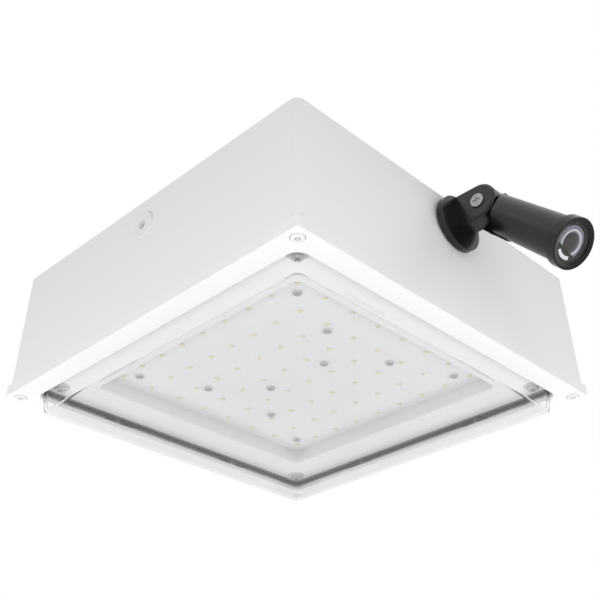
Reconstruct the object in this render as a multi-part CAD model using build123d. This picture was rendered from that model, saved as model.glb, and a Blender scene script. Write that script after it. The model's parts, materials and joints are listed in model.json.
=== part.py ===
from build123d import *
import math
import os

# A square surface light with a hinged-off lens door and an aimable motion sensor.
# Millimetres, +Z up. The origin is the centre of the mounting face, which lies on
# the ceiling at z = 0, and everything hangs below it.

os.makedirs("parts", exist_ok=True)

# Driving dimensions of the housing and the door
width = 304.8
height = 101.6
housing_wall = 3.0
back_thickness = 3.0
wall_draft = 1.95
housing_corner = 9.0
skirt_proud = 0.35
skirt_thickness = 3.0
door_corner = 2.5
seam_gap = 0.3
face_band = 16.3
face_thickness = 3.0
opening_corner = 8.5
ledge_width = 3.9
rim_reach = 4.0
rim_thickness = 2.0

# Lens, seals and the way they are held in the door
lens_gap = 1.5
lens_drop = 12.5
lens_wall = 3.0
lens_draft = 10.0
lens_corner = 6.0
lens_edge_round = 2.0
lens_flange_thickness = 2.5
lens_flange_gap = 0.6
lens_gasket_thickness = 1.0
lens_gasket_width = 2.0
housing_gasket_thickness = 2.4
retainer_inset = 10.2
retainer_boss_radius = 2.7
retainer_screw_radius = 1.4
retainer_screw_length = 4.5
retainer_spacing = 120.0
retainer_length = 26.0
retainer_width = 8.0
retainer_thickness = 1.2
retainer_head_height = 1.4

# Door screws, their bosses, posts and inserts
door_screw_inset = 8.4
door_screw_radius = 2.4
door_screw_head_radius = 4.4
door_screw_head_height = 2.6
door_screw_head_sink = 1.6
door_screw_length = 26.0
door_boss_radius = 6.0
post_radius = 5.0
post_length = 34.0
insert_radius = 3.5
insert_length = 14.0
washer_radius = 4.0
washer_thickness = 0.8

# Gear tray, light board and light packages
tray_depth = 93.0
tray_sheet = 1.2
tray_gap = 2.1
tray_corner = 7.0
recess_gap = 3.5
recess_corner = 5.0
recess_depth = 10.0
tray_screw_inset = 10.6
tray_screw_head_radius = 4.2
tray_screw_head_height = 2.4
tray_screw_radius = 2.4
tray_screw_length = 12.0
tray_washer_radius = 6.5
tray_washer_thickness = 1.0
tray_post_radius = 6.0
tray_post_draft = 1.0
board_side = 201.0
board_thickness = 1.6
board_corner = 3.0
light_columns = 8
light_rows = 9
light_pitch_x = 26.1
light_pitch_y = 22.8
light_side = 3.0
light_height = 0.8
light_bevel = 0.3
board_screw_corner = 83.0
board_screw_side_x = 33.3
board_screw_side_y = 62.5
board_screw_middle = 28.0
board_screw_head_radius = 3.0
board_screw_head_height = 1.6
board_screw_radius = 1.5

# Mounting, supply entry and what is fixed to the back
mount_spacing = 203.2
mount_hole_radius = 3.5
mount_pad_radius = 10.0
pad_height = 2.0
supply_radius = 11.1
supply_pad_radius = 17.0
driver_length = 150.0
driver_width = 60.0
driver_height = 30.0
driver_corner = 4.0
driver_y = 62.0
driver_foot = 12.0
driver_foot_thickness = 3.0
driver_foot_width = 24.0
driver_screw_radius = 2.0
driver_screw_head_radius = 4.0
driver_screw_head_height = 2.4
terminal_x = 0.0
terminal_y = -62.0
terminal_pitch = 12.0
terminal_count = 3
terminal_width = 20.0
terminal_height = 16.0
terminal_screw_radius = 2.4
wire_hole_radius = 2.2
ground_x = -62.0
ground_y = -62.0
ground_screw_radius = 2.4
ground_head_across = 8.0
ground_head_height = 4.0
gusset_thickness = 3.0

# Threaded entries in the four sides
entry_depth = 21.8
entry_bore_radius = 10.45
entry_hub_radius = 14.0
entry_hub_length = 14.0
thread_clearance = 0.1
plug_length = 12.0
plug_proud = 1.0
plug_chamfer = 0.8
plug_socket_across = 6.4
plug_socket_depth = 5.0

# Sensor base: flange, stem and ear
sensor_offset = 3.2
seal_thickness = 2.0
seal_radius = 18.5
flange_radius = 20.2
flange_thickness = 4.7
stem_length = 24.0
stem_bore_radius = 6.5
locknut_across = 27.0
locknut_thickness = 5.0
ear_drop = 5.2
ear_radius = 12.2
ear_reach = 17.5
ear_thickness = 14.1
ear_bevel = 1.5
lap_offset = 9.9
lap_gap = 0.1
pivot_out = 17.3
pivot_up = 7.2
pivot_radius = 2.5
pivot_clearance = 0.08
pivot_head_radius = 5.2
pivot_head_height = 1.2
pivot_nut_across = 8.0
pivot_nut_height = 4.0
pivot_washer_radius = 5.5
pivot_washer_thickness = 1.0

# Sensor barrel and the half sleeve that carries it
tilt = 45.0
barrel_rear = 15.3
barrel_radius = 14.1
barrel_wall = 2.0
saddle_lug_thickness = 13.9
saddle_wall = 1.1
saddle_start = 6.0
saddle_end = 25.3
saddle_screw_radius = 1.4
saddle_screw_head_radius = 2.6
saddle_screw_head_height = 1.2
rear_plug_thickness = 3.0
bezel_front = 80.3
bezel_length = 7.5
bezel_radius = 17.35
bezel_lip_radius = 13.6
bezel_lip_thickness = 1.2
bezel_round = 0.8
window_thickness = 1.2
window_seal_thickness = 0.8
baffle_recess = 3.6
baffle_thickness = 1.6
baffle_radius = 11.2
shield_line = 5.4
shield_turn = 7.7
shield_height = 1.0
lens_ring_radius = 8.7
lens_ring_width = 0.9
lens_ring_height = 0.6
eye_radius = 6.6
eye_height = 0.9
eye_depth = 3.0
holder_thickness = 5.0
daylight_inner = 8.9
daylight_outer = 11.3
daylight_spread = 34.0
daylight_depth = 2.0
sensor_board_thickness = 1.6
sensor_board_gap = 1.2

# Places worked out from the driving dimensions
half = width / 2
opening_half = half - face_band
face_low = -height
face_top = face_low + face_thickness
lens_seat = face_top + lens_gasket_thickness
ledge_top = lens_seat + lens_flange_thickness
housing_low = ledge_top + housing_gasket_thickness
skirt_top = housing_low - seam_gap
skirt_inner = half - skirt_thickness
ledge_inner = skirt_inner - ledge_width
flange_half = ledge_inner - lens_flange_gap
retainer_line = half - retainer_inset
door_screw_line = half - door_screw_inset
tray_half = opening_half - tray_gap
tray_face = -tray_depth
tray_back = tray_face + tray_sheet
tray_screw_line = tray_half - tray_screw_inset
recess_half = board_side / 2 + recess_gap
board_face = tray_face + recess_depth
board_back = board_face + board_thickness
recess_back = board_back + tray_sheet
inside_top = -back_thickness
pad_face = inside_top - pad_height
lens_low = face_low - lens_drop
lens_outer_half = opening_half - lens_gap
entry_z = -entry_depth


def wall_half(z):
    """Half the width of the drafted housing at height z."""
    return half - skirt_proud - math.tan(math.radians(wall_draft)) * (z - housing_low)


def drafted_block(inset, low, high):
    """The housing's drafted outline, moved in by inset, between two heights."""
    side = 2 * (wall_half(low) - inset)
    outline = RectangleRounded(side, side, max(housing_corner - inset, 1.0))
    return Pos(0, 0, low) * extrude(outline, high - low, taper=wall_draft)


def square_block(half_side, corner, low, high):
    """An upright square block with rounded corners, between two heights."""
    outline = RectangleRounded(2 * half_side, 2 * half_side, corner)
    return Pos(0, 0, low) * extrude(outline, high - low)


def post(radius, low, high):
    """An upright round post between two heights, on the z axis."""
    return Pos(0, 0, (low + high) / 2) * Cylinder(radius, high - low)


def at_corners(line, shape):
    """The shape at the four corners of a square of half side line, each turned to face out."""
    return [Rot(0, 0, 90 * turn) * Pos(line, line, 0) * shape for turn in range(4)]


def around(shape):
    """The shape on each of the four sides, starting from the one drawn at -Y."""
    return [Rot(0, 0, 90 * turn) * shape for turn in range(4)]


def side_rod(radius, near, far, x=0.0, z=entry_z):
    """A round rod along Y through the -Y wall, from y = -near to y = -far."""
    return Pos(x, -(near + far) / 2, z) * Rot(90, 0, 0) * Cylinder(radius, far - near)


def pan_screw(head_radius, head_height, shank_radius, shank_length, slot=0.0):
    """A screw with its head above z = 0 and its shank below, with a cross recess of width slot."""
    head = extrude(Circle(head_radius), head_height)
    head = fillet(head.edges().sort_by(Axis.Z)[-1], head_height * 0.45)
    shape = head + Pos(0, 0, -shank_length / 2) * Cylinder(shank_radius, shank_length)
    if slot > 0:
        depth = head_height * 0.5
        for angle in (0, 90):
            cut = Rot(0, 0, angle) * Box(head_radius * 1.1, slot, depth * 2)
            shape -= Pos(0, 0, head_height) * cut
    return shape


def hex_nut(across, thickness, bore_radius):
    """A hexagon nut standing on z = 0."""
    outline = RegularPolygon(across / 2, 6, major_radius=False) - Circle(bore_radius)
    return extrude(outline, thickness)


def group(shapes):
    """Separate solids that share one node."""
    return Compound(children=[piece for shape in shapes for piece in shape.solids()])


# The cast housing: a drafted shell with a rim, hubs, posts, pads and gussets
def make_housing():
    outer = drafted_block(0, housing_low, 0)
    shell = outer - drafted_block(housing_wall, housing_low - 1, inside_top)
    rim_top = housing_low + rim_thickness
    rim_inner = wall_half(housing_low) - housing_wall - rim_reach
    rim = drafted_block(0, housing_low, rim_top)
    rim -= square_block(rim_inner, opening_corner, housing_low - 1, rim_top + 1)
    shell += rim
    additions = []
    corner_fill = Pos(post_radius / 2, post_radius / 2, 0) * Box(post_radius, post_radius, post_length)
    corner_post = Cylinder(post_radius, post_length) + Pos(0, 0, 0) * corner_fill
    corner_post += Pos(post_radius / 2, 0, 0) * Box(post_radius, 2 * post_radius, post_length)
    corner_post += Pos(0, post_radius / 2, 0) * Box(2 * post_radius, post_radius, post_length)
    corner_post = Pos(0, 0, housing_low + post_length / 2) * corner_post
    additions += at_corners(door_screw_line, corner_post)
    post_height = inside_top - tray_back
    wide = tray_post_radius + math.tan(math.radians(tray_post_draft)) * post_height
    tray_post = Pos(0, 0, (tray_back + inside_top) / 2) * Cone(tray_post_radius, wide, post_height)
    additions += at_corners(tray_screw_line, tray_post)
    gusset_length = (half - tray_screw_line) * math.sqrt(2)
    gusset_low = housing_low + post_length - 4
    gusset = Box(gusset_length, gusset_thickness, inside_top - gusset_low + 1)
    gusset = Pos(0, 0, (inside_top + gusset_low + 1) / 2) * Rot(0, 0, 45) * Pos(gusset_length / 2, 0, 0) * gusset
    additions += at_corners(tray_screw_line, gusset)
    for turn in range(4):
        offset = sensor_offset if turn == 0 else 0.0
        near = wall_half(entry_z) - entry_hub_length
        hub = side_rod(entry_hub_radius, near, half, offset)
        additions.append(Rot(0, 0, 90 * turn) * hub)
    mount_pad = post(mount_pad_radius, pad_face, inside_top + 1)
    additions += at_corners(mount_spacing / 2, mount_pad)
    additions.append(post(supply_pad_radius, pad_face, inside_top + 1))
    for end in (-1, 1):
        foot_x = end * (driver_length + driver_foot) / 2
        foot_pad = Box(driver_foot, driver_foot_width, pad_height + 1)
        additions.append(Pos(foot_x, driver_y, pad_face + (pad_height + 1) / 2) * foot_pad)
    terminal_pad = Box(terminal_pitch * terminal_count + 6, terminal_width, pad_height + 1)
    additions.append(Pos(terminal_x, terminal_y, pad_face + (pad_height + 1) / 2) * terminal_pad)
    additions.append(Pos(ground_x, ground_y, 0) * post(ground_head_across * 0.8, pad_face, inside_top + 1))
    for shape in additions:
        shell += shape & outer
    cuts = []
    insert_hole = post(insert_radius, housing_low - 1, housing_low + insert_length)
    insert_hole += post(door_screw_radius + 0.4, housing_low, housing_low + post_length - 6)
    cuts += at_corners(door_screw_line, insert_hole)
    cuts += at_corners(tray_screw_line, post(tray_screw_radius, tray_back - 1, tray_back + tray_screw_length))
    cuts += at_corners(mount_spacing / 2, post(mount_hole_radius, pad_face - 1, 1))
    cuts.append(post(supply_radius, pad_face - 1, 1))
    for turn in range(4):
        offset = sensor_offset if turn == 0 else 0.0
        near = wall_half(entry_z) - entry_hub_length - 1
        cuts.append(Rot(0, 0, 90 * turn) * side_rod(entry_bore_radius, near, half + 5, offset))
    for end in (-1, 1):
        foot_x = end * (driver_length + driver_foot) / 2
        cuts.append(Pos(foot_x, driver_y, 0) * post(driver_screw_radius, pad_face - 1, pad_face + 3.5))
    cuts.append(Pos(ground_x, ground_y, 0) * post(ground_screw_radius, pad_face - 1, pad_face + 3.5))
    for shape in cuts:
        shell -= shape
    return shell


def make_frame_inserts():
    sleeve = post(insert_radius, housing_low, housing_low + insert_length)
    sleeve -= post(door_screw_radius + thread_clearance, housing_low - 1, housing_low + insert_length + 1)
    return group(at_corners(door_screw_line, sleeve))


# Blanking plugs in the three side entries that the sensor leaves free
def make_entry_plugs():
    outer_y = wall_half(entry_z) + plug_proud
    plug = side_rod(entry_bore_radius - thread_clearance, outer_y - plug_length, outer_y)
    plug = chamfer(plug.edges().filter_by(GeomType.CIRCLE).sort_by(Axis.Y)[0], plug_chamfer)
    socket = extrude(RegularPolygon(plug_socket_across / 2, 6, major_radius=False), plug_socket_depth + 1)
    plug -= Pos(0, -outer_y - 1, entry_z) * Rot(-90, 0, 0) * socket
    return group([Rot(0, 0, -90 * turn) * plug for turn in (1, 2, 3)])


# The door: a flat face with a skirt outside it and a ledge behind it
def make_door_frame():
    frame = square_block(half, door_corner, face_low, face_top)
    outer_edges = frame.edges().group_by(Axis.Z)[0]
    frame = fillet(outer_edges, 0.8)
    skirt = square_block(half, door_corner, face_top - 1, skirt_top)
    ledge_block = square_block(skirt_inner, 1.0, ledge_top, skirt_top + 1)
    skirt -= ledge_block
    skirt -= square_block(ledge_inner, 3.0, face_top - 1, skirt_top + 1)
    frame += skirt
    boss = post(door_boss_radius, face_top - 0.5, ledge_top)
    boss &= square_block(skirt_inner, 1.0, face_low, skirt_top)
    retainer_boss = post(retainer_boss_radius, face_top - 0.5, ledge_top)
    for shape in at_corners(door_screw_line, post(door_boss_radius, face_top - 0.5, ledge_top)):
        frame += shape & square_block(half - 1, door_corner, face_low, skirt_top)
    for shape in retainer_places(retainer_boss):
        frame += shape
    frame -= square_block(opening_half, opening_corner, face_low - 1, face_top + 1)
    inner_edges = frame.faces().sort_by(Axis.Z)[0].inner_wires()[0].edges()
    frame = fillet(inner_edges, 0.5)
    head_hole = post(door_screw_head_radius + 0.3, face_low - 1, face_low + door_screw_head_sink)
    head_hole += post(door_screw_radius + 0.3, face_low, ledge_top + 1)
    for shape in at_corners(door_screw_line, head_hole):
        frame -= shape
    for shape in retainer_places(post(retainer_screw_radius, face_top, ledge_top + 1)):
        frame -= shape
    return frame


def retainer_places(shape):
    """The shape at the two retainer places of each side, drawn at the origin for the -Y side."""
    placed = []
    for turn in range(4):
        for end in (-1, 1):
            spot = Pos(end * retainer_spacing / 2, -retainer_line, 0)
            placed.append(Rot(0, 0, 90 * turn) * spot * shape)
    return placed


# Closed-cell gasket between the door's ledge and the housing's rim
def make_housing_gasket():
    ring = square_block(skirt_inner - 0.1, 1.0, ledge_top, housing_low)
    ring -= square_block(ledge_inner, 3.0, ledge_top - 1, housing_low + 1)
    for shape in at_corners(door_screw_line, post(door_boss_radius, ledge_top, housing_low)):
        ring += shape & square_block(skirt_inner - 0.1, 1.0, ledge_top, housing_low)
    for shape in at_corners(door_screw_line, post(washer_radius + 0.3, ledge_top - 1, housing_low + 1)):
        ring -= shape
    return ring


# The moulded lens: a shallow drafted tray with a flange that the door traps
def make_lens():
    rise = ledge_top - lens_low
    low_half = lens_outer_half - math.tan(math.radians(lens_draft)) * lens_drop
    outline = RectangleRounded(2 * low_half, 2 * low_half, lens_corner)
    body = Pos(0, 0, lens_low) * extrude(outline, rise, taper=-lens_draft)
    body = fillet(body.edges().group_by(Axis.Z)[0], lens_edge_round)
    floor = lens_low + lens_wall
    inner_half = low_half - lens_wall / math.cos(math.radians(lens_draft))
    inner_half += math.tan(math.radians(lens_draft)) * lens_wall
    inner = RectangleRounded(2 * inner_half, 2 * inner_half, lens_corner - lens_wall * 0.8)
    hollow = Pos(0, 0, floor) * extrude(inner, rise, taper=-lens_draft)
    flange = square_block(flange_half, 2.0, lens_seat, ledge_top)
    body += flange
    body -= hollow
    slot_reach = flange_half - retainer_line + 1
    notch = post(retainer_boss_radius + 0.3, lens_seat - 1, ledge_top + 1)
    notch_box = Box(2 * (retainer_boss_radius + 0.3), slot_reach, lens_flange_thickness + 2)
    notch += Pos(0, -slot_reach / 2, (lens_seat + ledge_top) / 2) * notch_box
    for shape in retainer_places(notch):
        body -= shape
    for shape in at_corners(door_screw_line, post(door_boss_radius + lens_flange_gap, lens_seat - 1, ledge_top + 1)):
        body -= shape
    return body


def make_lens_gasket():
    inner = opening_half + 1.0
    ring = square_block(inner + lens_gasket_width, opening_corner, face_top, lens_seat)
    ring -= square_block(inner, opening_corner - 1, face_top - 1, lens_seat + 1)
    return ring


# Flat tabs and their screws hold the lens flange down on its gasket
def make_lens_retainers():
    overhang = flange_half - retainer_line
    outline = Pos(0, retainer_width / 2 - overhang) * RectangleRounded(retainer_length, retainer_width, 2.0)
    outline -= Circle(retainer_screw_radius + 0.2)
    tab = Pos(0, 0, ledge_top) * extrude(outline, retainer_thickness)
    return group(retainer_places(tab))


def make_retainer_screws():
    screw = pan_screw(retainer_boss_radius, retainer_head_height, retainer_screw_radius, retainer_screw_length)
    return group(retainer_places(Pos(0, 0, ledge_top + retainer_thickness) * screw))


# Tamper-resistant button screws, held in the door by a washer behind it
def make_door_screws():
    screw = pan_screw(door_screw_head_radius, door_screw_head_height, door_screw_radius, door_screw_length)
    socket = extrude(RegularPolygon(door_screw_radius * 0.85, 6) - Circle(0.7), door_screw_head_height)
    screw -= Pos(0, 0, door_screw_head_height * 0.35) * socket
    seat = face_low + door_screw_head_sink
    return group(at_corners(door_screw_line, Pos(0, 0, seat) * Rot(180, 0, 0) * screw))


def make_captive_washers():
    washer = post(washer_radius, ledge_top, ledge_top + washer_thickness)
    washer -= post(door_screw_radius + 0.02, ledge_top - 1, housing_low)
    return group(at_corners(door_screw_line, washer))


# The dished sheet-metal tray that carries the light board
def make_gear_tray():
    tray = square_block(tray_half, tray_corner, tray_face, tray_back)
    tray += square_block(recess_half + tray_sheet, recess_corner + tray_sheet, tray_face, recess_back)
    top_edges = tray.edges().group_by(Axis.Z)[-1]
    tray = fillet(top_edges, tray_sheet)
    tray -= square_block(recess_half, recess_corner, tray_face - 1, board_back)
    mouth = tray.faces().sort_by(Axis.Z)[0].inner_wires()[0].edges()
    tray = fillet(mouth, tray_sheet * 0.8)
    for shape in at_corners(tray_screw_line, post(tray_screw_radius + 0.3, tray_face - 1, tray_back + 1)):
        tray -= shape
    for x, y in board_screw_places():
        tray -= Pos(x, y, 0) * post(board_screw_radius + 0.02, board_back - 1, recess_back + 1)
    return tray


def make_tray_washers():
    washer = post(tray_washer_radius, tray_face - tray_washer_thickness, tray_face)
    washer = chamfer(washer.edges().filter_by(GeomType.CIRCLE).sort_by(Axis.Z)[0], tray_washer_thickness * 0.4)
    washer -= post(tray_screw_radius + 0.02, tray_face - 2, tray_face + 1)
    return group(at_corners(tray_screw_line, washer))


def make_tray_screws():
    screw = pan_screw(tray_screw_head_radius, tray_screw_head_height, tray_screw_radius, tray_screw_length, 0.9)
    seat = tray_face - tray_washer_thickness
    return group(at_corners(tray_screw_line, Pos(0, 0, seat) * Rot(180, 0, 0) * screw))


def board_screw_places():
    """The ten board screws: four at the corners, four part way in and two near the middle."""
    spots = [(0.0, board_screw_middle), (0.0, -board_screw_middle)]
    for x, y in ((board_screw_corner, board_screw_corner), (board_screw_side_x, board_screw_side_y)):
        spots += [(x, y), (-x, y), (x, -y), (-x, -y)]
    return spots


def make_led_board():
    board = square_block(board_side / 2, board_corner, board_face, board_back)
    for x, y in board_screw_places():
        board -= Pos(x, y, 0) * post(board_screw_radius + 0.2, board_face - 1, board_back + 1)
    return board


def make_led_packages():
    package = Pos(0, 0, board_face - light_height / 2) * Box(light_side, light_side, light_height)
    package = chamfer(package.edges().group_by(Axis.Z)[0], light_bevel)
    packages = []
    for column in range(light_columns):
        for row in range(light_rows):
            x = (column - (light_columns - 1) / 2) * light_pitch_x
            y = (row - (light_rows - 1) / 2) * light_pitch_y
            packages.append(Pos(x, y, 0) * package)
    return group(packages)


def make_board_screws():
    length = board_thickness + tray_sheet + 2.0
    screw = pan_screw(board_screw_head_radius, board_screw_head_height, board_screw_radius, length)
    screw = Rot(180, 0, 0) * screw
    return group([Pos(x, y, board_face) * screw for x, y in board_screw_places()])


# Behind the tray: the driver, the terminal block and the earth screw
def make_driver_case():
    top = pad_face
    body = Box(driver_length, driver_width, driver_height)
    body = fillet(body.edges().filter_by(Axis.Z), driver_corner)
    body = fillet(body.edges().group_by(Axis.Z)[0], 1.5)
    body = Pos(0, 0, top - driver_height / 2) * body
    for end in (-1, 1):
        foot_x = end * (driver_length + driver_foot) / 2
        foot = Box(driver_foot + 2, driver_foot_width, driver_foot_thickness)
        body += Pos(foot_x - end, 0, top - driver_foot_thickness / 2) * foot
        body -= Pos(foot_x, 0, 0) * post(driver_screw_radius + 0.3, top - driver_height, top + 1)
    for rib in range(-4, 5):
        groove = Box(driver_length / 18, driver_width + 1, 2.4)
        body -= Pos(rib * driver_length / 10, 0, top - driver_height) * groove
    return Pos(0, driver_y, 0) * body


def make_driver_screws():
    screw = pan_screw(driver_screw_head_radius, driver_screw_head_height, driver_screw_radius, driver_foot_thickness + 3.0)
    screw = Pos(0, 0, pad_face - driver_foot_thickness) * Rot(180, 0, 0) * screw
    spots = [end * (driver_length + driver_foot) / 2 for end in (-1, 1)]
    return group([Pos(x, driver_y, 0) * screw for x in spots])


def make_terminal_block():
    length = terminal_pitch * terminal_count
    block = Box(length, terminal_width, terminal_height)
    block = Pos(0, 0, pad_face - terminal_height / 2) * block
    block = chamfer(block.edges().group_by(Axis.Z)[0].filter_by(Axis.X), 3.0)
    for pole in range(terminal_count):
        x = (pole - (terminal_count - 1) / 2) * terminal_pitch
        block -= Pos(x, 0, 0) * post(terminal_screw_radius + 0.3, pad_face - terminal_height - 1, pad_face - 6)
        hole = Rot(90, 0, 0) * Cylinder(wire_hole_radius, terminal_width + 2)
        block -= Pos(x, 0, pad_face - terminal_height * 0.7) * hole
    for gap in range(terminal_count - 1):
        x = (gap - (terminal_count - 2) / 2) * terminal_pitch
        groove = Box(1.2, terminal_width + 2, terminal_height * 0.4)
        block -= Pos(x, 0, pad_face - terminal_height + terminal_height * 0.2) * groove
    return Pos(terminal_x, terminal_y, 0) * block


def make_terminal_screws():
    head = Pos(0, 0, pad_face - terminal_height + 3.0) * Rot(180, 0, 0) * extrude(Circle(terminal_screw_radius), 1.5)
    shank = post(terminal_screw_radius * 0.6, pad_face - terminal_height + 3.0, pad_face - 6)
    slot = Pos(0, 0, pad_face - terminal_height + 1.5) * Box(terminal_screw_radius * 3, 0.7, 1.4)
    screw = head + shank - slot
    spots = [(pole - (terminal_count - 1) / 2) * terminal_pitch for pole in range(terminal_count)]
    return group([Pos(terminal_x + x, terminal_y, 0) * screw for x in spots])


def make_ground_screw():
    head = extrude(RegularPolygon(ground_head_across / 2, 6, major_radius=False), ground_head_height)
    flange = extrude(Circle(ground_head_across * 0.6), 1.2)
    shank = Pos(0, 0, -1.6) * Cylinder(ground_screw_radius, 3.2)
    screw = head + flange + shank
    return Pos(ground_x, ground_y, pad_face) * Rot(180, 0, 0) * screw


# Sensor base: a flange on a seal, a hollow threaded stem and the pivot ear
seal_plane = wall_half(entry_z) + seal_thickness
flange_front = seal_plane + flange_thickness
stem_end = seal_plane - stem_length
lap_x = sensor_offset + lap_offset
ear_side = lap_x - ear_thickness
pivot_y = -(flange_front + pivot_out)
pivot_z = entry_z + pivot_up
hub_face = wall_half(entry_z) - entry_hub_length
window_back = bezel_front - bezel_lip_thickness - window_thickness
barrel_front = window_back - window_seal_thickness
bore_radius = barrel_radius - barrel_wall
baffle_front = bezel_front - baffle_recess
baffle_back = baffle_front - baffle_thickness
holder_back = baffle_back - holder_thickness


def make_base_seal():
    ring = side_rod(seal_radius, seal_plane - seal_thickness - 2, seal_plane, sensor_offset)
    ring -= side_rod(entry_bore_radius + 0.3, seal_plane - 10, seal_plane + 1, sensor_offset)
    return ring - drafted_block(0, entry_z - 40, 0)


def ear_outline(radius):
    """The ear's side profile in the YZ plane, drawn with Y as up and -X as out of the flange."""
    centre = -(flange_front + ear_reach)
    with BuildSketch(Plane.YZ) as sketch:
        with Locations((centre, entry_z + ear_radius - ear_drop)):
            Circle(radius)
        with Locations(((centre - flange_front + 1.0) / 2, entry_z + ear_radius - ear_drop)):
            Rectangle(ear_reach + 1.0, 2 * radius)
    return sketch.sketch


def make_sensor_base():
    flange = side_rod(flange_radius, seal_plane, flange_front, sensor_offset)
    flange = chamfer(flange.edges().filter_by(GeomType.CIRCLE).sort_by(Axis.Y)[0], 0.8)
    stem = side_rod(entry_bore_radius - thread_clearance, stem_end, seal_plane, sensor_offset)
    stem = chamfer(stem.edges().filter_by(GeomType.CIRCLE).sort_by(Axis.Y)[-1], 0.8)
    ear = Pos(ear_side, 0, 0) * extrude(ear_outline(ear_radius), ear_thickness, dir=(1, 0, 0))
    near_edges = ear.edges().group_by(Axis.X)[0]
    near_edges = near_edges.filter_by(lambda edge: edge.center().Y < -flange_front - 1)
    ear = chamfer(near_edges, ear_bevel)
    base = flange + stem + ear
    base -= side_rod(stem_bore_radius, stem_end - 1, flange_front - 1.5, sensor_offset)
    hole = Pos(ear_side + ear_thickness / 2, pivot_y, pivot_z) * Rot(0, 90, 0)
    base -= hole * Cylinder(pivot_radius + 0.02, ear_thickness + 2)
    return base


def make_stem_locknut():
    nut = hex_nut(locknut_across, locknut_thickness, entry_bore_radius - thread_clearance + 0.02)
    nut &= extrude(Circle(locknut_across * 0.55), locknut_thickness)
    return Pos(sensor_offset, -(hub_face - lap_gap), entry_z) * Rot(-90, 0, 0) * nut


def make_pivot_screw():
    length = ear_thickness + lap_gap + saddle_lug_thickness + pivot_washer_thickness + pivot_nut_height + 0.6
    screw = pan_screw(pivot_head_radius, pivot_head_height, pivot_radius, length, 1.1)
    return Pos(ear_side, pivot_y, pivot_z) * Rot(0, -90, 0) * screw


def make_pivot_washer():
    ring = extrude(Circle(pivot_washer_radius) - Circle(pivot_radius + 0.02), pivot_washer_thickness)
    return Pos(lap_x + lap_gap + saddle_lug_thickness + lap_gap, pivot_y, pivot_z) * Rot(0, 90, 0) * ring


def make_pivot_nut():
    start = lap_x + 2 * lap_gap + saddle_lug_thickness + pivot_washer_thickness
    nut = hex_nut(pivot_nut_across, pivot_nut_height, pivot_radius + 0.02)
    return Pos(start, pivot_y, pivot_z) * Rot(0, 90, 0) * nut


# The barrel is drawn standing on the pivot with its front up, then laid over
def on_barrel(shape):
    return Pos(lap_x, pivot_y, pivot_z) * Rot(90 + tilt, 0, 0) * shape


def make_tilt_saddle():
    outer_radius = barrel_radius + saddle_wall
    sleeve = extrude(Circle(outer_radius), saddle_end - saddle_start)
    sleeve = Pos(0, 0, saddle_start) * sleeve
    lug = Rot(0, 90, 0) * extrude(Circle(ear_radius), saddle_lug_thickness)
    bridge = Pos(saddle_lug_thickness / 2, 0, saddle_start) * Box(saddle_lug_thickness, 2 * ear_radius, 2 * saddle_start)
    saddle = sleeve + lug + bridge
    saddle -= Pos(0, 0, barrel_rear + 20) * Cylinder(barrel_radius + 0.02, 40)
    keep = Pos(25 + lap_gap, 0, 0) * Box(50, 60, 120)
    saddle &= keep
    saddle -= Rot(0, 90, 0) * Cylinder(pivot_radius + pivot_clearance, 80)
    for z in saddle_screw_heights():
        saddle -= Pos(0, 0, z) * Rot(0, 90, 0) * Cylinder(saddle_screw_radius + 0.02, 80)
    return on_barrel(saddle)


def saddle_screw_heights():
    return [saddle_end - 4.0]


def make_saddle_screws():
    screw = pan_screw(saddle_screw_head_radius, saddle_screw_head_height, saddle_screw_radius, 5.0)
    seat = barrel_radius + saddle_wall
    return group([on_barrel(Pos(seat, 0, z) * Rot(0, 90, 0) * screw) for z in saddle_screw_heights()])


def make_sensor_barrel():
    tube = extrude(Circle(barrel_radius), barrel_front - barrel_rear)
    tube = Pos(0, 0, barrel_rear) * tube
    bore = Pos(0, 0, (barrel_front + barrel_rear) / 2) * Cylinder(barrel_radius - barrel_wall, 200)
    tube -= bore
    for z in saddle_screw_heights():
        tube -= Pos(20, 0, z) * Rot(0, 90, 0) * Cylinder(saddle_screw_radius + 0.02, 40)
    return on_barrel(tube)


def make_barrel_rear_plug():
    plug = extrude(Circle(barrel_radius - barrel_wall - 0.02), rear_plug_thickness)
    plug = chamfer(plug.edges().filter_by(GeomType.CIRCLE).sort_by(Axis.Z)[0], 0.6)
    return on_barrel(Pos(0, 0, barrel_rear + 0.4) * plug)


def make_sensor_bezel():
    ring = Pos(0, 0, bezel_front - bezel_length) * extrude(Circle(bezel_radius), bezel_length)
    ring = fillet(ring.edges().filter_by(GeomType.CIRCLE).sort_by(Axis.Z)[-1], bezel_round)
    ring = chamfer(ring.edges().filter_by(GeomType.CIRCLE).sort_by(Axis.Z)[0], 0.6)
    ring -= Pos(0, 0, bezel_front) * Cylinder(bezel_lip_radius, 40)
    seat_height = bezel_length - bezel_lip_thickness
    seat = extrude(Circle(barrel_radius + 0.05), seat_height)
    ring -= Pos(0, 0, bezel_front - bezel_length) * seat
    return on_barrel(ring)


def make_sensor_window():
    disc = extrude(Circle(barrel_radius), window_thickness)
    return on_barrel(Pos(0, 0, window_back) * disc)


def make_window_seal():
    ring = extrude(Circle(barrel_radius) - Circle(barrel_radius - barrel_wall), window_seal_thickness)
    return on_barrel(Pos(0, 0, barrel_front) * ring)


def beyond_shield(size, low, high):
    """A block that covers everything on the shielded side of the eye."""
    block = Box(size, size, high - low)
    return Rot(0, 0, -shield_turn) * Pos(0, -shield_line - size / 2, (low + high) / 2) * block


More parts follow.
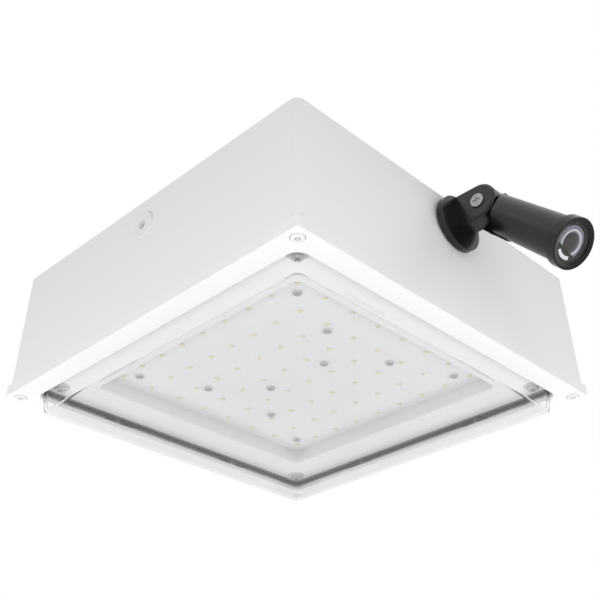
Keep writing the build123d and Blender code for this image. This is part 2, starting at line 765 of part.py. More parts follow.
def daylight_sector(outer, inner, spread, low, high):
    ring = extrude(Circle(outer) - Circle(inner), high - low)
    reach = 2 * outer
    half_spread = math.radians(spread)
    corner = (reach * math.sin(half_spread), -reach * math.cos(half_spread))
    wedge = make_face(Polyline((0, 0), corner, (-corner[0], corner[1]), close=True))
    sector = Pos(0, 0, low) * (ring & extrude(wedge, high - low))
    return Rot(0, 0, -shield_turn) * sector


# Inside the barrel's mouth: a black holder with a shield, a grey baffle, a ring and the eye
def make_lens_holder():
    holder = Pos(0, 0, holder_back) * extrude(Circle(bore_radius - 0.02), holder_thickness)
    shield_top = baffle_front + shield_height
    shield = Pos(0, 0, baffle_back) * extrude(Circle(bore_radius - 0.02), shield_top - baffle_back)
    shield &= beyond_shield(4 * bore_radius, baffle_back, shield_top)
    holder += shield
    pocket_low = shield_top - daylight_depth
    holder -= daylight_sector(daylight_outer + 0.05, daylight_inner - 0.05, daylight_spread + 0.5, pocket_low, shield_top + 1)
    holder -= Pos(0, 0, baffle_back) * Cylinder(eye_radius + 0.05, 2 * eye_depth)
    return on_barrel(holder)


def make_daylight_window():
    top = baffle_front + shield_height
    pipe = daylight_sector(daylight_outer, daylight_inner, daylight_spread, top - daylight_depth, top - 0.2)
    return on_barrel(pipe)


def make_sensor_baffle():
    plate = Pos(0, 0, baffle_back) * extrude(Circle(baffle_radius) - Circle(eye_radius + 0.05), baffle_thickness)
    plate -= beyond_shield(4 * baffle_radius, baffle_back - 1, baffle_front + 1)
    return on_barrel(plate)


def make_lens_ring():
    outline = Circle(lens_ring_radius) - Circle(lens_ring_radius - lens_ring_width)
    ring = Pos(0, 0, baffle_front) * extrude(outline, lens_ring_height)
    ring -= beyond_shield(4 * baffle_radius, baffle_front - 1, baffle_front + 2)
    return on_barrel(ring)


def make_sensor_eye():
    body = Pos(0, 0, baffle_back - eye_depth) * extrude(Circle(eye_radius), eye_depth + baffle_thickness)
    sphere_radius = (eye_radius ** 2 + eye_height ** 2) / (2 * eye_height)
    dome = Pos(0, 0, baffle_front + eye_height - sphere_radius) * Sphere(sphere_radius)
    body += dome & (Pos(0, 0, baffle_front) * extrude(Circle(eye_radius), eye_height))
    body -= beyond_shield(4 * baffle_radius, baffle_back, baffle_front + eye_height + 1)
    return on_barrel(body)


def make_sensor_board():
    back = holder_back - sensor_board_gap - sensor_board_thickness
    board = Pos(0, 0, back) * extrude(Circle(bore_radius - 0.05), sensor_board_thickness)
    board += Pos(0, 0, back + sensor_board_thickness) * extrude(Rectangle(12, 8), sensor_board_gap)
    return on_barrel(board)


pieces = {
    "housing": make_housing,
    "frame_inserts": make_frame_inserts,
    "entry_plugs": make_entry_plugs,
    "base_seal": make_base_seal,
    "gear_tray": make_gear_tray,
    "tray_washers": make_tray_washers,
    "tray_screws": make_tray_screws,
    "led_board": make_led_board,
    "led_packages": make_led_packages,
    "board_screws": make_board_screws,
    "driver_case": make_driver_case,
    "driver_screws": make_driver_screws,
    "terminal_block": make_terminal_block,
    "terminal_screws": make_terminal_screws,
    "ground_screw": make_ground_screw,
    "door_frame": make_door_frame,
    "housing_gasket": make_housing_gasket,
    "lens": make_lens,
    "lens_gasket": make_lens_gasket,
    "lens_retainers": make_lens_retainers,
    "retainer_screws": make_retainer_screws,
    "door_screws": make_door_screws,
    "captive_washers": make_captive_washers,
    "sensor_base": make_sensor_base,
    "stem_locknut": make_stem_locknut,
    "pivot_screw": make_pivot_screw,
    "pivot_washer": make_pivot_washer,
    "pivot_nut": make_pivot_nut,
    "tilt_saddle": make_tilt_saddle,
    "saddle_screws": make_saddle_screws,
    "sensor_barrel": make_sensor_barrel,
    "barrel_rear_plug": make_barrel_rear_plug,
    "sensor_bezel": make_sensor_bezel,
    "window_seal": make_window_seal,
    "sensor_window": make_sensor_window,
    "lens_holder": make_lens_holder,
    "daylight_window": make_daylight_window,
    "sensor_baffle": make_sensor_baffle,
    "lens_ring": make_lens_ring,
    "sensor_eye": make_sensor_eye,
    "sensor_board": make_sensor_board,
}

for name, make in pieces.items():
    export_step(make(), f"parts/{name}.step")
print("sensor pivot", lap_x, pivot_y, pivot_z)
print("sensor flange", sensor_offset, -flange_front, entry_z)
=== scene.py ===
import json
import math

import bpy
from mathutils import Matrix, Vector


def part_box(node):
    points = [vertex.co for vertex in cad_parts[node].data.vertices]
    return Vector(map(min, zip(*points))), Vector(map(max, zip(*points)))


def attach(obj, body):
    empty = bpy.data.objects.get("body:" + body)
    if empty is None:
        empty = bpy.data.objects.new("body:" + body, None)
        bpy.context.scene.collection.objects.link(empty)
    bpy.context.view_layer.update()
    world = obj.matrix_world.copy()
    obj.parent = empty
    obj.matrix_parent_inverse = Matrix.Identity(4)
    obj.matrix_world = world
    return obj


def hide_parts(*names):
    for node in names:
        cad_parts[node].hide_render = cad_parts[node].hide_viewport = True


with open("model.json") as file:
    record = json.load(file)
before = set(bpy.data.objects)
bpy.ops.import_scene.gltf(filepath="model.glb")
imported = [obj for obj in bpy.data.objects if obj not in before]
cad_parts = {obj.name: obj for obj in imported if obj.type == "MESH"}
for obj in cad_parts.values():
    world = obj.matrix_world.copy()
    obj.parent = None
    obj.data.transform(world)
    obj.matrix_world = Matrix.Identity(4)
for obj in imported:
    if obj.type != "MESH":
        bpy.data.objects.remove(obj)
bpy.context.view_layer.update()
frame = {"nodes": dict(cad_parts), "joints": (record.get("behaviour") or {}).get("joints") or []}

scene = bpy.context.scene


# The camera looks up at the light from below one corner, as in the photograph,
# so two sides, the door and the lens all show.
camera_place = Vector((-0.4643, -0.4614, -0.4193))
camera_yaw = math.radians(45.22)
camera_pitch = math.radians(31.54)
camera_roll = math.radians(-0.19)
sensor_width = 36.0
image_side = 600.0
focal_pixels = 981.4
principal_x = 297.3

camera_data = bpy.data.cameras.new("camera")
camera_data.sensor_width = sensor_width
camera_data.lens = focal_pixels / image_side * sensor_width
camera_data.shift_x = (image_side / 2 - principal_x) / image_side
camera_data.clip_start = 0.01
camera = bpy.data.objects.new("camera", camera_data)
scene.collection.objects.link(camera)
forward = Vector((
    math.sin(camera_yaw) * math.cos(camera_pitch),
    math.cos(camera_yaw) * math.cos(camera_pitch),
    math.sin(camera_pitch)))
side = Vector((math.cos(camera_yaw), -math.sin(camera_yaw), 0.0))
upward = side.cross(forward)
turned_side = math.cos(camera_roll) * side + math.sin(camera_roll) * upward
turned_up = -math.sin(camera_roll) * side + math.cos(camera_roll) * upward
camera.matrix_world = Matrix((
    (turned_side.x, turned_up.x, -forward.x, camera_place.x),
    (turned_side.y, turned_up.y, -forward.y, camera_place.y),
    (turned_side.z, turned_up.z, -forward.z, camera_place.z),
    (0, 0, 0, 1)))
scene.camera = camera
scene.view_settings.view_transform = "Standard"


# A plain studio: a pale floor far below the light, an even pale sky that the
# camera sees as white, and a few large soft lamps.
floor_drop = 0.75
floor_side = 7.0
sky_strength = 0.53


def nodes_of(tree, kinds):
    """Adds a shader node for each name and kind, and gives them back by name."""
    return {name: tree.nodes.new(kind) for name, kind in kinds.items()}


world = bpy.data.worlds.new("studio")
scene.world = world
world.use_nodes = True
world.node_tree.nodes.clear()
sky = nodes_of(world.node_tree, {
    "path": "ShaderNodeLightPath", "seen": "ShaderNodeMath", "seen_all": "ShaderNodeMath",
    "soft": "ShaderNodeBackground", "white": "ShaderNodeBackground", "mix": "ShaderNodeMixShader",
    "out": "ShaderNodeOutputWorld"})
sky["seen"].operation = "MAXIMUM"
sky["seen_all"].operation = "MAXIMUM"
sky["soft"].inputs["Color"].default_value = (1.0, 1.0, 1.0, 1)
sky["soft"].inputs["Strength"].default_value = sky_strength
sky["white"].inputs["Color"].default_value = (1, 1, 1, 1)
sky["white"].inputs["Strength"].default_value = 1.0
links = world.node_tree.links
links.new(sky["path"].outputs["Is Camera Ray"], sky["seen"].inputs[0])
links.new(sky["path"].outputs["Is Transmission Ray"], sky["seen"].inputs[1])
links.new(sky["seen"].outputs[0], sky["seen_all"].inputs[0])
links.new(sky["path"].outputs["Is Glossy Ray"], sky["seen_all"].inputs[1])
links.new(sky["seen_all"].outputs[0], sky["mix"].inputs["Fac"])
links.new(sky["soft"].outputs[0], sky["mix"].inputs[1])
links.new(sky["white"].outputs[0], sky["mix"].inputs[2])
links.new(sky["mix"].outputs[0], sky["out"].inputs["Surface"])

floor_mesh = bpy.data.meshes.new("floor")
reach = floor_side / 2
floor_corners = [(x * reach, y * reach, -floor_drop) for x, y in ((-1, -1), (1, -1), (1, 1), (-1, 1))]
floor_mesh.from_pydata(floor_corners, [], [(0, 1, 2, 3)])
floor = bpy.data.objects.new("floor", floor_mesh)
scene.collection.objects.link(floor)
floor_paint = bpy.data.materials.new("floor_paint")
floor_paint.use_nodes = True
floor_paint.node_tree.nodes["Principled BSDF"].inputs["Base Color"].default_value = (0.9, 0.9, 0.9, 1)
floor_paint.node_tree.nodes["Principled BSDF"].inputs["Roughness"].default_value = 0.8
floor_mesh.materials.append(floor_paint)


def soft_lamp(name, place, target, length, width, watts):
    """A rectangular area lamp at place, turned to face target, with its length level."""
    data = bpy.data.lights.new(name, "AREA")
    data.shape = "RECTANGLE"
    data.size = length
    data.size_y = width
    data.energy = watts
    lamp = bpy.data.objects.new(name, data)
    scene.collection.objects.link(lamp)
    lamp.location = place
    aim = Vector(target) - Vector(place)
    lamp.rotation_euler = aim.to_track_quat("-Z", "Y").to_euler()
    return lamp


key_place = (-1.45, -1.45, 0.85)
key_aim = (0.0, -0.1, -0.06)
key_side = 0.55
key_watts = 2.1
below_place = (0, 0, -0.72)
below_aim = (0, 0, -0.1)
below_side = 1.3
below_watts = 0.8
strip_watts = 1.13
strip_reach = 0.47
strip_level = -0.36
strip_aim = -0.07
strip_length = 1.0
strip_width = 0.2
housing_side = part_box("housing")[1].x
soft_lamp("lamp_key", key_place, key_aim, key_side, key_side, key_watts)
unseen_lamps = [soft_lamp("lamp_below", below_place, below_aim, below_side, below_side, below_watts)]
for x, y in ((-1, 0), (0, -1), (1, 0), (0, 1)):
    strip_place = (x * strip_reach, y * strip_reach, strip_level)
    wall_place = (x * housing_side, y * housing_side, strip_aim)
    strip = soft_lamp("lamp_strip", strip_place, wall_place, strip_length, strip_width, strip_watts)
    unseen_lamps.append(strip)
for lamp in unseen_lamps:
    lamp.visible_glossy = False
    lamp.visible_transmission = False


# The housing: a square die-cast aluminium shell with drafted walls, finished
# in a smooth white powder coat. It is screwed to the ceiling through its back.
coat_white = (0.87, 0.87, 0.868, 1)
coat_roughness = 0.42


def make_group(name, inputs, outputs):
    """A shader node group with named inputs and outputs, ready to be filled."""
    tree = bpy.data.node_groups.new(name, "ShaderNodeTree")
    for label, kind, value in inputs:
        socket = tree.interface.new_socket(label, in_out="INPUT", socket_type=kind)
        socket.default_value = value
    for label, kind in outputs:
        tree.interface.new_socket(label, in_out="OUTPUT", socket_type=kind)
    entry = tree.nodes.new("NodeGroupInput")
    leave = tree.nodes.new("NodeGroupOutput")
    return tree, entry, leave


def mottle_group():
    """Fine mottle of a coat or moulding: a colour that drifts, a roughness and a bump height."""
    tree, entry, leave = make_group(
        "mottle",
        [("Color", "NodeSocketColor", (0.8, 0.8, 0.8, 1)), ("Drift", "NodeSocketFloat", 0.03),
         ("Grain Size", "NodeSocketFloat", 900.0), ("Roughness", "NodeSocketFloat", 0.4),
         ("Roughness Drift", "NodeSocketFloat", 0.06)],
        [("Color", "NodeSocketColor"), ("Roughness", "NodeSocketFloat"), ("Height", "NodeSocketFloat")])
    n = nodes_of(tree, {
        "place": "ShaderNodeTexCoord", "grain": "ShaderNodeTexNoise", "broad": "ShaderNodeTexNoise",
        "shade": "ShaderNodeMapRange", "tint": "ShaderNodeMix", "low": "ShaderNodeMath",
        "rough": "ShaderNodeMath", "spread": "ShaderNodeMath"})
    n["broad"].inputs["Scale"].default_value = 22.0
    n["broad"].inputs["Detail"].default_value = 3.0
    n["grain"].inputs["Detail"].default_value = 2.0
    n["tint"].data_type = "RGBA"
    n["tint"].blend_type = "MULTIPLY"
    n["low"].operation = "SUBTRACT"
    n["low"].inputs[0].default_value = 1.0
    n["spread"].operation = "MULTIPLY"
    n["rough"].operation = "ADD"
    link = tree.links.new
    link(n["place"].outputs["Object"], n["grain"].inputs["Vector"])
    link(n["place"].outputs["Object"], n["broad"].inputs["Vector"])
    link(entry.outputs["Grain Size"], n["grain"].inputs["Scale"])
    link(entry.outputs["Drift"], n["low"].inputs[1])
    link(n["broad"].outputs["Fac"], n["shade"].inputs["Value"])
    link(n["low"].outputs[0], n["shade"].inputs["To Min"])
    n["tint"].inputs["Factor"].default_value = 1.0
    link(entry.outputs["Color"], n["tint"].inputs["A"])
    link(n["shade"].outputs["Result"], n["tint"].inputs["B"])
    link(n["broad"].outputs["Fac"], n["spread"].inputs[0])
    link(entry.outputs["Roughness Drift"], n["spread"].inputs[1])
    link(entry.outputs["Roughness"], n["rough"].inputs[0])
    link(n["spread"].outputs[0], n["rough"].inputs[1])
    link(n["tint"].outputs["Result"], leave.inputs["Color"])
    link(n["rough"].outputs[0], leave.inputs["Roughness"])
    link(n["grain"].outputs["Fac"], leave.inputs["Height"])
    return tree


mottle = mottle_group()


def finish_of(name, color, roughness, grain_size, bump, drift=0.03, metallic=0.0, coat=0.0):
    """A coated, moulded or metal finish with mottle in its colour, roughness and surface."""
    material = bpy.data.materials.new(name)
    material.use_nodes = True
    tree = material.node_tree
    shader = tree.nodes["Principled BSDF"]
    surface = tree.nodes.new("ShaderNodeGroup")
    surface.node_tree = mottle
    surface.inputs["Color"].default_value = color
    surface.inputs["Drift"].default_value = drift
    surface.inputs["Grain Size"].default_value = grain_size
    surface.inputs["Roughness"].default_value = roughness
    surface.inputs["Roughness Drift"].default_value = 0.06
    relief = tree.nodes.new("ShaderNodeBump")
    relief.inputs["Strength"].default_value = bump
    relief.inputs["Distance"].default_value = 0.00005
    tree.links.new(surface.outputs["Color"], shader.inputs["Base Color"])
    tree.links.new(surface.outputs["Roughness"], shader.inputs["Roughness"])
    tree.links.new(surface.outputs["Height"], relief.inputs["Height"])
    tree.links.new(relief.outputs["Normal"], shader.inputs["Normal"])
    shader.inputs["Metallic"].default_value = metallic
    shader.inputs["Coat Weight"].default_value = coat
    material.diffuse_color = color
    return material


def dress(material, *names):
    """Gives the material to CAD nodes."""
    for name in names:
        piece = frame["nodes"][name]
        piece.data.materials.clear()
        piece.data.materials.append(material)


white_coat = finish_of("white_powder_coat", coat_white, coat_roughness, 700.0, 0.25, drift=0.02)
dress(white_coat, "housing")


# Brass threaded inserts in the housing's corner posts, pressed in from below.
# The four door screws run into them.
brass = finish_of("turned_brass", (0.62, 0.44, 0.17, 1), 0.32, 500.0, 0.2, metallic=1.0)
dress(brass, "frame_inserts")


# Blanking plugs in the free side entries: die-cast, coated with the housing
# and turned in with a hexagon key.
plug_coat = finish_of("plug_powder_coat", (0.84, 0.84, 0.84, 1), 0.45, 700.0, 0.3, drift=0.03)
dress(plug_coat, "entry_plugs")


# Inside the back: a nylon terminal block with zinc-plated screws and a green
# earth screw, each fixed to a cast pad.
nylon = finish_of("cream_nylon", (0.72, 0.7, 0.63, 1), 0.5, 400.0, 0.2)
zinc = finish_of("zinc_plate", (0.86, 0.86, 0.87, 1), 0.3, 600.0, 0.15, metallic=1.0)
earth_green = finish_of("green_lacquer", (0.03, 0.28, 0.08, 1), 0.35, 500.0, 0.1, coat=0.3)
dress(nylon, "terminal_block")
dress(zinc, "terminal_screws", "driver_screws")
dress(earth_green, "ground_screw")


# The driver: a ribbed aluminium case screwed to two pads inside the back.
driver_alloy = finish_of("extruded_aluminium", (0.72, 0.73, 0.74, 1), 0.38, 350.0, 0.2, metallic=1.0)
dress(driver_alloy, "driver_case")


# The gear tray: white-coated sheet steel, dished to take the light board, and
# held to the housing's posts by screws on light grey nylon washers.
tray_coat = finish_of("tray_powder_coat", (0.83, 0.83, 0.83, 1), 0.5, 600.0, 0.2, drift=0.02)
washer_nylon = finish_of("grey_nylon", (0.62, 0.62, 0.63, 1), 0.5, 500.0, 0.3)
dress(tray_coat, "gear_tray")
dress(washer_nylon, "tray_washers")
dress(zinc, "tray_screws")


# The light board: a white-lacquered aluminium circuit board with rows of small
# surface-mounted light packages, held by ten screws.
board_lacquer = finish_of("board_lacquer", (0.8, 0.805, 0.805, 1), 0.35, 260.0, 0.15, drift=0.02)
package_body = finish_of("package_moulding", (0.8, 0.79, 0.66, 1), 0.4, 900.0, 0.1)
dress(board_lacquer, "led_board")
dress(zinc, "board_screws")
dress(package_body, "led_packages")


# On each light package a low bead of clear silicone over yellow phosphor, cast
# into the package's well.
bead_radius = 0.00135
bead_height = 0.00055
bead_rings = 4
bead_sides = 16
package_reach = 0.004


def package_faces():
    """The centre of each light package's lit face, from the corners of the packages' mesh."""
    clusters = []
    for corner in frame["nodes"]["led_packages"].data.vertices:
        for cluster in clusters:
            if (cluster[0].xy - corner.co.xy).length < package_reach * 1.5:
                cluster.append(corner.co)
                break
        else:
            clusters.append([corner.co])
    faces = []
    for cluster in clusters:
        lowest = Vector((min(c.x for c in cluster), min(c.y for c in cluster), min(c.z for c in cluster)))
        highest = Vector((max(c.x for c in cluster), max(c.y for c in cluster), min(c.z for c in cluster)))
        faces.append((lowest + highest) / 2)
    return faces


def phosphor_beads():
    """One mesh of low domes, one on each package."""
    corners, sides = [], []
    for centre in package_faces():
        first = len(corners)
        for ring in range(bead_rings):
            climb = ring / bead_rings * math.pi / 2
            out, down = bead_radius * math.cos(climb), bead_height * math.sin(climb)
            for step in range(bead_sides):
                turn = 2 * math.pi * step / bead_sides
                along, across = out * math.cos(turn), out * math.sin(turn)
                corners.append((centre.x + along, centre.y + across, centre.z - down))
        corners.append((centre.x, centre.y, centre.z - bead_height))
        top = len(corners) - 1
        for ring in range(bead_rings - 1):
            for step in range(bead_sides):
                a = first + ring * bead_sides + step
                b = first + ring * bead_sides + (step + 1) % bead_sides
                sides.append((b, a, a + bead_sides, b + bead_sides))
        last = first + (bead_rings - 1) * bead_sides
        for step in range(bead_sides):
            sides.append((last + (step + 1) % bead_sides, last + step, top))
        sides.append(tuple(first + step for step in range(bead_sides)))
    mesh = bpy.data.meshes.new("phosphor_beads")
    mesh.from_pydata(corners, [], sides)
    mesh.polygons.foreach_set("use_smooth", [True] * len(mesh.polygons))
    return mesh


bead_silicone = finish_of("phosphor_silicone", (0.80, 0.79, 0.50, 1), 0.3, 900.0, 0.1, coat=0.8)
beads = bpy.data.objects.new("phosphor_beads", phosphor_beads())
scene.collection.objects.link(beads)
beads.data.materials.append(bead_silicone)
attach(beads, "body")


# The door frame: a flat cast frame with a skirt, coated white like the housing.
# It drops off once its four corner screws are undone.
dress(white_coat, "door_frame")


# Seals: light grey silicone foam gaskets, one between the door and the housing's
# rim and one under the lens flange.
seal_rubber = finish_of("black_rubber", (0.02, 0.02, 0.021, 1), 0.65, 500.0, 0.4)
grey_foam = finish_of("grey_silicone_foam", (0.6, 0.6, 0.6, 1), 0.75, 500.0, 0.5)
dress(grey_foam, "housing_gasket", "lens_gasket")


# The lens: one clear polycarbonate moulding, 3 mm thick, trapped in the door by
# its flange. Shadow and diffuse rays pass straight through it.
clear = bpy.data.materials.new("clear_polycarbonate")
clear.use_nodes = True
clear_tree = clear.node_tree
shader = clear_tree.nodes["Principled BSDF"]
shader.inputs["Base Color"].default_value = (0.965, 0.965, 0.965, 1)
shader.inputs["Transmission Weight"].default_value = 1.0
shader.inputs["IOR"].default_value = 1.1
shader.inputs["Roughness"].default_value = 0.0
shader.inputs["Coat Weight"].default_value = 0.8
shader.inputs["Coat IOR"].default_value = 1.5
shader.inputs["Coat Roughness"].default_value = 0.02
n = nodes_of(clear_tree, {
    "path": "ShaderNodeLightPath", "let": "ShaderNodeMath", "pass": "ShaderNodeBsdfTransparent",
    "mix": "ShaderNodeMixShader"})
n["let"].operation = "MAXIMUM"
n["pass"].inputs["Color"].default_value = (0.97, 0.97, 0.97, 1)
clear_tree.links.new(n["path"].outputs["Is Shadow Ray"], n["let"].inputs[0])
clear_tree.links.new(n["path"].outputs["Is Diffuse Ray"], n["let"].inputs[1])
clear_tree.links.new(n["let"].outputs[0], n["mix"].inputs["Fac"])
clear_tree.links.new(shader.outputs[0], n["mix"].inputs[1])
clear_tree.links.new(n["pass"].outputs[0], n["mix"].inputs[2])
clear_tree.links.new(n["mix"].outputs[0], clear_tree.nodes["Material Output"].inputs["Surface"])
dress(clear, "lens")


# Eight flat steel tabs and their screws hold the lens flange on its gasket.
dress(zinc, "lens_retainers", "retainer_screws")


# The door screws: button heads enamelled white like the door, with a hexagon recess
# round a pin, kept in the door by a washer behind it.
screw_enamel = finish_of("screw_enamel", (0.82, 0.82, 0.82, 1), 0.35, 500.0, 0.2)
dress(screw_enamel, "door_screws")
dress(zinc, "captive_washers")


# The sensor's base: flange, hollow threaded stem and pivot ear moulded in one from
# black plastic. The stem is screwed into the side entry on a rubber seal, with a
# locknut inside.
mm = 0.001
flange_radius = 20.8 * mm
flange_edge = 0.4 * mm
seal_height = -4.7 * mm
stem_radius = 10.35 * mm
stem_end = -28.7 * mm
stem_chamfer = 0.8 * mm
stem_bore = 6.5 * mm
stem_bore_end = -1.5 * mm
ear_radius = 13.3 * mm
ear_thickness = 14.1 * mm
ear_bevel = 1.4 * mm
ear_root = 2.0 * mm
pivot_radius = 2.5 * mm
joint_place = {joint["name"]: Vector(joint["pos_m"]) for joint in frame["joints"] if "pos_m" in joint}
flange_centre = joint_place["sensor_pan"]
pivot = joint_place["sensor_tilt"]
round_sides = 96
sharp_angle = math.radians(28)


def piece_of(name, corners, faces):
    """A new mesh object from corners and faces."""
    mesh = bpy.data.meshes.new(name)
    mesh.from_pydata(corners, [], faces)
    piece = bpy.data.objects.new(name, mesh)
    scene.collection.objects.link(piece)
    return piece


def turned(name, profile, place, hollow=False):
    """A solid turned about Z from (radius, height) points, capped at its ends or closed round a bore."""
    corners, faces = [], []
    count = len(profile)
    for step in range(round_sides):
        turn = 2 * math.pi * step / round_sides
        corners += [(radius * math.cos(turn), radius * math.sin(turn), height) for radius, height in profile]
    for step in range(round_sides):
        here, there = step * count, (step + 1) % round_sides * count
        for first in range(count if hollow else count - 1):
            second = (first + 1) % count
            faces.append((here + first, there + first, there + second, here + second))
    if not hollow:
        faces.append(tuple(step * count for step in reversed(range(round_sides))))
        faces.append(tuple(step * count + count - 1 for step in range(round_sides)))
    piece = piece_of(name, corners, faces)
    piece.data.transform(place)
    return piece


def rod(radius, low, high, place):
    """A plain round tool between two heights, for cuts and unions."""
    return turned("tool", [(radius, low), (radius, high)], place)


def block(low, high, place):
    """A square-cornered tool between two corners."""
    corners = [(x, y, z) for x in (low[0], high[0]) for y in (low[1], high[1]) for z in (low[2], high[2])]
    faces = [(0, 1, 3, 2), (4, 6, 7, 5), (0, 4, 5, 1), (2, 3, 7, 6), (0, 2, 6, 4), (1, 5, 7, 3)]
    piece = piece_of("tool", corners, faces)
    piece.data.transform(place)
    return piece


def joined(piece, tool, operation):
    """The piece after an exact union, difference or intersection with the tool, which is used up."""
    step = piece.modifiers.new("shape", "BOOLEAN")
    step.operation = operation
    step.solver = "EXACT"
    step.object = tool
    shaped = piece.evaluated_get(bpy.context.evaluated_depsgraph_get())
    mesh = bpy.data.meshes.new_from_object(shaped)
    piece.modifiers.clear()
    piece.data = mesh
    bpy.data.objects.remove(tool)
    return piece


def moulded(piece, material, body, node):
    """Gives the piece its finish, sharpens its shading at edges and puts it in place of the CAD node."""
    piece.data.materials.clear()
    piece.data.materials.append(material)
    piece.data.polygons.foreach_set("use_smooth", [True] * len(piece.data.polygons))
    piece.data.set_sharp_from_angle(angle=sharp_angle)
    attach(piece, body)
    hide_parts(node)


def pivot_ear():
    """The ear: a block with a round end about the pivot, bevelled on the side that faces out."""
    root = flange_centre.y - pivot.y + ear_root
    rings = []
    for out, inset in ((-ear_thickness, ear_bevel), (-ear_thickness + ear_bevel, 0.0), (0.0, 0.0)):
        radius = ear_radius - inset
        ring = [(out, root, radius)]
        for step in range(round_sides // 2 + 1):
            turn = math.pi / 2 + math.pi * step / (round_sides // 2)
            ring.append((out, radius * math.cos(turn), radius * math.sin(turn)))
        ring.append((out, root, -radius))
        rings.append(ring)
    count = len(rings[0])
    faces = [tuple(reversed(range(count))), tuple(range(2 * count, 3 * count))]
    for level in (0, count):
        for first in range(count):
            second = (first + 1) % count
            faces.append((level + first, level + second, level + count + second, level + count + first))
    ear = piece_of("ear", sum(rings, []), faces)
    ear.data.transform(Matrix.Translation(pivot))
    return ear


outwards = Matrix.Translation(flange_centre) @ Matrix.Rotation(math.pi / 2, 4, "X")
sideways = Matrix.Translation(pivot) @ Matrix.Rotation(math.pi / 2, 4, "Y")
black_moulding = finish_of("black_moulding", (0.006, 0.006, 0.0065, 1), 0.22, 2500.0, 0.1, drift=0.15)
base = turned("sensor_base_moulding", [
    (stem_bore, stem_bore_end), (stem_bore, stem_end), (stem_radius - stem_chamfer, stem_end),
    (stem_radius, stem_end + stem_chamfer), (stem_radius, seal_height), (flange_radius, seal_height),
    (flange_radius, -flange_edge), (flange_radius - flange_edge, 0.0)], outwards)
base = joined(base, pivot_ear(), "UNION")
base = joined(base, rod(pivot_radius, -2 * ear_thickness, 0.5 * ear_thickness, sideways), "DIFFERENCE")
moulded(base, black_moulding, "sensor_arm", "sensor_base")
dress(seal_rubber, "base_seal")
dress(zinc, "stem_locknut")


# The tilt pivot: a silver pan screw through ear and lug, with a washer and nut.
stainless = finish_of("stainless_steel", (0.36, 0.36, 0.36, 1), 0.25, 900.0, 0.5, metallic=1.0)
dress(stainless, "pivot_screw")
dress(zinc, "pivot_washer", "pivot_nut")


# The sensor's barrel: a slightly tapered black tube. Its rear end is hollowed round
# the ear above and cut off nearly square below; a plug closes its bore.
tilt = math.radians(45.0)
barrel_rear = 15.2 * mm
barrel_rear_radius = 13.6 * mm
barrel_front_radius = 15.3 * mm
barrel_bore = 12.1 * mm
barrel_start = 2.0 * mm
barrel_front = 77.1 * mm
spigot_radius = 14.1 * mm
bezel_rear = 72.8 * mm
relief_radius = 14.0 * mm
relief_slope = math.radians(9.8)
tool_reach = 0.1
tool_overlap = 0.02 * mm
along_barrel = Matrix.Translation(pivot) @ Matrix.Rotation(math.pi / 2 + tilt, 4, "X")
across_barrel = along_barrel @ Matrix.Rotation(math.pi / 2, 4, "Y")


def barrel_radius(height):
    """The barrel's outside radius at a distance from the pivot."""
    share = (height - barrel_rear) / (bezel_rear - barrel_rear)
    return barrel_rear_radius + share * (barrel_front_radius - barrel_rear_radius)


def rear_relief(piece, gap):
    """Takes the ear's room out of the rear of a piece: round above, nearly flat below.

    The flat tool reaches a little past the middle, so that no two faces share a plane.
    """
    round_place = along_barrel @ Matrix.Translation((0, 0, barrel_rear - relief_radius))
    round_place = round_place @ Matrix.Rotation(math.pi / 2, 4, "Y")
    piece = joined(piece, rod(relief_radius - gap, -tool_reach, tool_reach, round_place), "DIFFERENCE")
    flat_place = along_barrel @ Matrix.Translation((0, 0, barrel_rear - gap))
    flat_place = flat_place @ Matrix.Rotation(-relief_slope, 4, "X")
    below = block((-tool_reach, -tool_reach, -tool_reach), (tool_reach, tool_overlap, 0), flat_place)
    return joined(piece, below, "DIFFERENCE")


barrel_profile = [
    (barrel_bore, barrel_start), (barrel_radius(barrel_start), barrel_start),
    (barrel_front_radius, bezel_rear), (spigot_radius, bezel_rear),
    (spigot_radius, barrel_front), (barrel_bore, barrel_front)]
barrel = turned("barrel_tube", barrel_profile, along_barrel, hollow=True)
barrel = rear_relief(barrel, 0.0)
moulded(barrel, black_moulding, "sensor_head", "sensor_barrel")
dress(black_moulding, "barrel_rear_plug")


# The saddle: a thin half sleeve round the barrel's rear, cut off at a slant, with
# the pivot lug on it. A screw holds the barrel in it.
saddle_wall = 1.1 * mm
saddle_start = 4.0 * mm
saddle_end_above = 7.1 * mm
saddle_end_below = 26.4 * mm
lug_thickness = 13.9 * mm
lap_gap = 0.1 * mm
drop_in_gap = 0.05 * mm
washer_seat_radius = 5.9 * mm
screw_pad_radius = 3.2 * mm
screw_pad_place = 21.3 * mm
screw_pad_top = 15.15 * mm


def cone_tool(grow, low, high):
    """The barrel's outside grown by grow, as a solid between two distances from the pivot."""
    profile = [(barrel_radius(low) + grow, low), (barrel_radius(high) + grow, high)]
    return turned("tool", profile, along_barrel)


saddle = cone_tool(saddle_wall, saddle_start, saddle_end_below)
saddle.name = "saddle_sleeve"
end_slant = math.atan2(saddle_end_below - saddle_end_above, 2 * barrel_rear_radius)
end_place = along_barrel @ Matrix.Translation((0, 0, (saddle_end_below + saddle_end_above) / 2))
end_place = end_place @ Matrix.Rotation(-end_slant, 4, "X")
beyond_end = block((-tool_reach, -tool_reach, 0), (tool_reach, tool_reach, tool_reach), end_place)
saddle = joined(saddle, beyond_end, "DIFFERENCE")
saddle = joined(saddle, rod(ear_radius, -ear_radius, lug_thickness, across_barrel), "UNION")
pad_place = along_barrel @ Matrix.Translation((0, 0, screw_pad_place)) @ Matrix.Rotation(math.pi / 2, 4, "Y")
saddle = joined(saddle, rod(screw_pad_radius, spigot_radius, screw_pad_top, pad_place), "UNION")
room = rear_relief(cone_tool(drop_in_gap, barrel_start, bezel_rear), drop_in_gap)
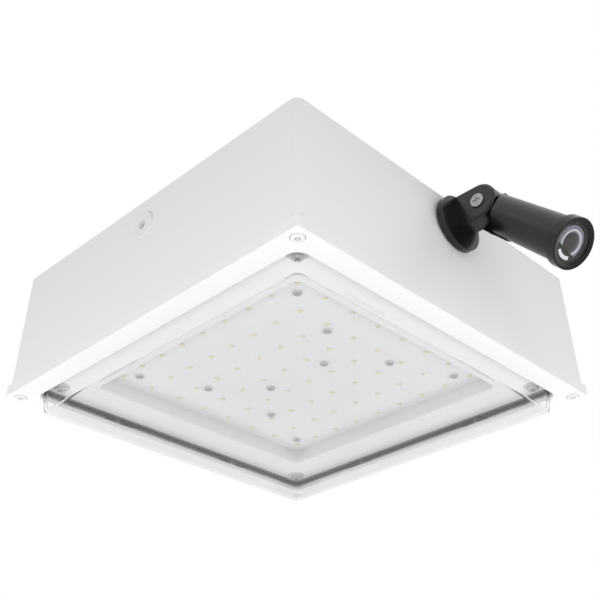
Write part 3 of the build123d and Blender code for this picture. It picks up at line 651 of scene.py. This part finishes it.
saddle = joined(saddle, room, "DIFFERENCE")
near_half = block((-tool_reach, -tool_reach, -tool_reach), (lap_gap, tool_reach, tool_reach), along_barrel)
saddle = joined(saddle, near_half, "DIFFERENCE")
saddle = joined(saddle, rod(pivot_radius, -tool_reach, tool_reach, across_barrel), "DIFFERENCE")
saddle = joined(saddle, rod(washer_seat_radius, lug_thickness, tool_reach, across_barrel), "DIFFERENCE")
moulded(saddle, black_moulding, "sensor_head", "tilt_saddle")
dress(zinc, "saddle_screws")


# The bezel: a glossy black ring screwed over the barrel's front, with a thin rim
# and a cone that leads in to the window.
bezel_front = 80.3 * mm
bezel_radius = 17.35 * mm
bezel_edge = 0.5 * mm
bezel_rim = 16.5 * mm
bezel_lip = 13.6 * mm
bezel_cone = 1.0 * mm
window_front = 79.12 * mm
gloss_black = finish_of("gloss_black", (0.004, 0.004, 0.0045, 1), 0.08, 700.0, 0.05, drift=0.1)
bezel = turned("bezel_ring", [
    (spigot_radius + drop_in_gap, bezel_rear), (bezel_radius - bezel_edge, bezel_rear),
    (bezel_radius, bezel_rear + bezel_edge), (bezel_radius, bezel_front - bezel_edge),
    (bezel_radius - bezel_edge, bezel_front), (bezel_rim, bezel_front), (bezel_lip, bezel_front - bezel_cone),
    (bezel_lip, window_front), (spigot_radius + drop_in_gap, window_front)], along_barrel, hollow=True)
moulded(bezel, gloss_black, "sensor_head", "sensor_bezel")


# In its mouth: a clear window on a seal, a black holder with a shield, a grey
# baffle with a white ring, the dark eye and a small clear daylight window.
window_clear = clear.copy()
window_clear.name = "clear_window"
grey_baffle = finish_of("grey_baffle", (0.2, 0.205, 0.27, 1), 0.5, 500.0, 0.2)
white_ring = finish_of("white_ring", (0.75, 0.75, 0.78, 1), 0.35, 500.0, 0.1)
dark_eye = finish_of("dark_eye", (0.022, 0.016, 0.022, 1), 0.25, 900.0, 0.6, drift=0.3)
pale_pipe = finish_of("pale_light_pipe", (0.85, 0.86, 0.9, 1), 0.2, 500.0, 0.1)
board_green = finish_of("circuit_green", (0.02, 0.16, 0.06, 1), 0.4, 500.0, 0.1)
dress(seal_rubber, "window_seal")
dress(window_clear, "sensor_window")
dress(gloss_black, "lens_holder")
dress(grey_baffle, "sensor_baffle")
dress(white_ring, "lens_ring")
dress(dark_eye, "sensor_eye")
dress(pale_pipe, "daylight_window")
dress(board_green, "sensor_board")
